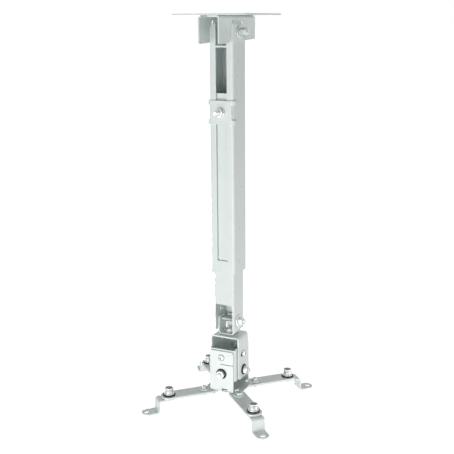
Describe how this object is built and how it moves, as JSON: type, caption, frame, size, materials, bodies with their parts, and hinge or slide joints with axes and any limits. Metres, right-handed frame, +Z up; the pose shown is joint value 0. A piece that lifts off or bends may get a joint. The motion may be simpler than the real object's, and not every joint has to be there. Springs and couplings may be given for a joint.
{
  "type": "projector ceiling mount",
  "caption": "Ceiling mount for a video projector: square telescopic mast on a ceiling plate, swivel and two-axis tilt head, swinging arms with folded feet.",
  "frame": {"origin": "centre of the ceiling plate's top face", "axes": "+Z up into the ceiling, +X right along the mast's slotted front face, +Y to the back"},
  "size_m": [0.1876, 0.1876, 0.5019],
  "materials": {
    "white_enamel": "satin powder coat",
    "zinc_plate": "bright zinc plate",
    "black_nylon": "matt moulded"
  },
  "bodies": {
    "ceiling": {"ceiling_plate": "white_enamel", "ceiling_yoke": "white_enamel", "yoke_bolt": "zinc_plate", "yoke_nut": "zinc_plate", "yoke_washers": "zinc_plate"},
    "outer_mast": {"outer_tube": "white_enamel"},
    "inner_mast": {"inner_tube": "white_enamel", "clamp_collar": "white_enamel", "clamp_stud": "zinc_plate", "clamp_washer": "zinc_plate", "clamp_nut": "zinc_plate", "cross_bolt": "zinc_plate", "cross_nut": "zinc_plate", "cross_washers": "zinc_plate"},
    "knuckle": {"knuckle": "white_enamel", "swivel_bolt": "zinc_plate", "swivel_nut": "zinc_plate"},
    "head": {"head_yoke": "white_enamel", "pitch_bolts": "zinc_plate", "pitch_washers": "black_nylon", "pitch_nuts": "zinc_plate"},
    "gimbal": {"gimbal_box": "white_enamel", "pitch_guide_bolts": "zinc_plate", "pitch_guide_nuts": "zinc_plate"},
    "hub": {"hub_bracket": "white_enamel", "roll_bolts": "zinc_plate", "roll_washers": "black_nylon", "roll_nuts": "zinc_plate", "roll_guide_bolts": "zinc_plate", "roll_guide_nuts": "zinc_plate", "arm_pivot_screws": "zinc_plate", "arm_pivot_nuts": "zinc_plate", "arm_lock_screws": "zinc_plate", "arm_lock_nuts": "zinc_plate"},
    "arm_front_left": {"arm_front_left": "white_enamel", "foot_screw_front_left": "zinc_plate", "pad_front_left": "black_nylon", "cap_nut_front_left": "zinc_plate"},
    "foot_front_left": {"foot_front_left": "white_enamel"},
    "arm_front_right": {"arm_front_right": "white_enamel", "foot_screw_front_right": "zinc_plate", "pad_front_right": "black_nylon", "cap_nut_front_right": "zinc_plate"},
    "foot_front_right": {"foot_front_right": "white_enamel"},
    "arm_rear_right": {"arm_rear_right": "white_enamel", "foot_screw_rear_right": "zinc_plate", "pad_rear_right": "black_nylon", "cap_nut_rear_right": "zinc_plate"},
    "foot_rear_right": {"foot_rear_right": "white_enamel"},
    "arm_rear_left": {"arm_rear_left": "white_enamel", "foot_screw_rear_left": "zinc_plate", "pad_rear_left": "black_nylon", "cap_nut_rear_left": "zinc_plate"},
    "foot_rear_left": {"foot_rear_left": "white_enamel"}
  },
  "joints": [
    {"name": "ceiling_tilt", "type": "hinge", "parent": "ceiling", "child": "outer_mast", "pos_m": [0, 0, -0.022], "axis": [1, 0, 0], "range_deg": [-12, 12]},
    {"name": "mast_slide", "type": "slide", "parent": "outer_mast", "child": "inner_mast", "axis": [0, 0, -1], "range_m": [-0.048, 0.17]},
    {"name": "knuckle_tilt", "type": "hinge", "parent": "inner_mast", "child": "knuckle", "pos_m": [0, 0, -0.388], "axis": [1, 0, 0], "range_deg": [-15, 15]},
    {"name": "head_swivel", "type": "hinge", "parent": "knuckle", "child": "head", "pos_m": [0, 0, -0.4072], "axis": [0, 0, 1], "continuous": true},
    {"name": "head_pitch", "type": "hinge", "parent": "head", "child": "gimbal", "pos_m": [0, 0, -0.455], "axis": [0.9974, 0.0715, 0], "range_deg": [-12, 12]},
    {"name": "head_roll", "type": "hinge", "parent": "gimbal", "child": "hub", "pos_m": [0, 0, -0.455], "axis": [-0.0715, 0.9974, 0], "range_deg": [-12, 12]},
    {"name": "arm_swing_front_left", "type": "hinge", "parent": "hub", "child": "arm_front_left", "pos_m": [-0.02361, -0.02726, -0.4812], "axis": [0, 0, 1], "range_deg": [-15, 15]},
    {"name": "arm_swing_front_right", "type": "hinge", "parent": "hub", "child": "arm_front_right", "pos_m": [0.02726, -0.02361, -0.4812], "axis": [0, 0, 1], "range_deg": [-15, 15]},
    {"name": "arm_swing_rear_right", "type": "hinge", "parent": "hub", "child": "arm_rear_right", "pos_m": [0.02361, 0.02726, -0.4812], "axis": [0, 0, 1], "range_deg": [-15, 15]},
    {"name": "arm_swing_rear_left", "type": "hinge", "parent": "hub", "child": "arm_rear_left", "pos_m": [-0.02726, 0.02361, -0.4812], "axis": [0, 0, 1], "range_deg": [-15, 15]},
    {"name": "foot_turn_front_left", "type": "hinge", "parent": "arm_front_left", "child": "foot_front_left", "pos_m": [-0.05504, -0.06354, -0.4839], "axis": [0, 0, 1], "range_deg": [-90, 90]},
    {"name": "foot_turn_front_right", "type": "hinge", "parent": "arm_front_right", "child": "foot_front_right", "pos_m": [0.06354, -0.05504, -0.4839], "axis": [0, 0, 1], "range_deg": [-90, 90]},
    {"name": "foot_turn_rear_right", "type": "hinge", "parent": "arm_rear_right", "child": "foot_rear_right", "pos_m": [0.05504, 0.06354, -0.4839], "axis": [0, 0, 1], "range_deg": [-90, 90]},
    {"name": "foot_turn_rear_left", "type": "hinge", "parent": "arm_rear_left", "child": "foot_rear_left", "pos_m": [-0.06354, 0.05504, -0.4839], "axis": [0, 0, 1], "range_deg": [-90, 90]}
  ]
}
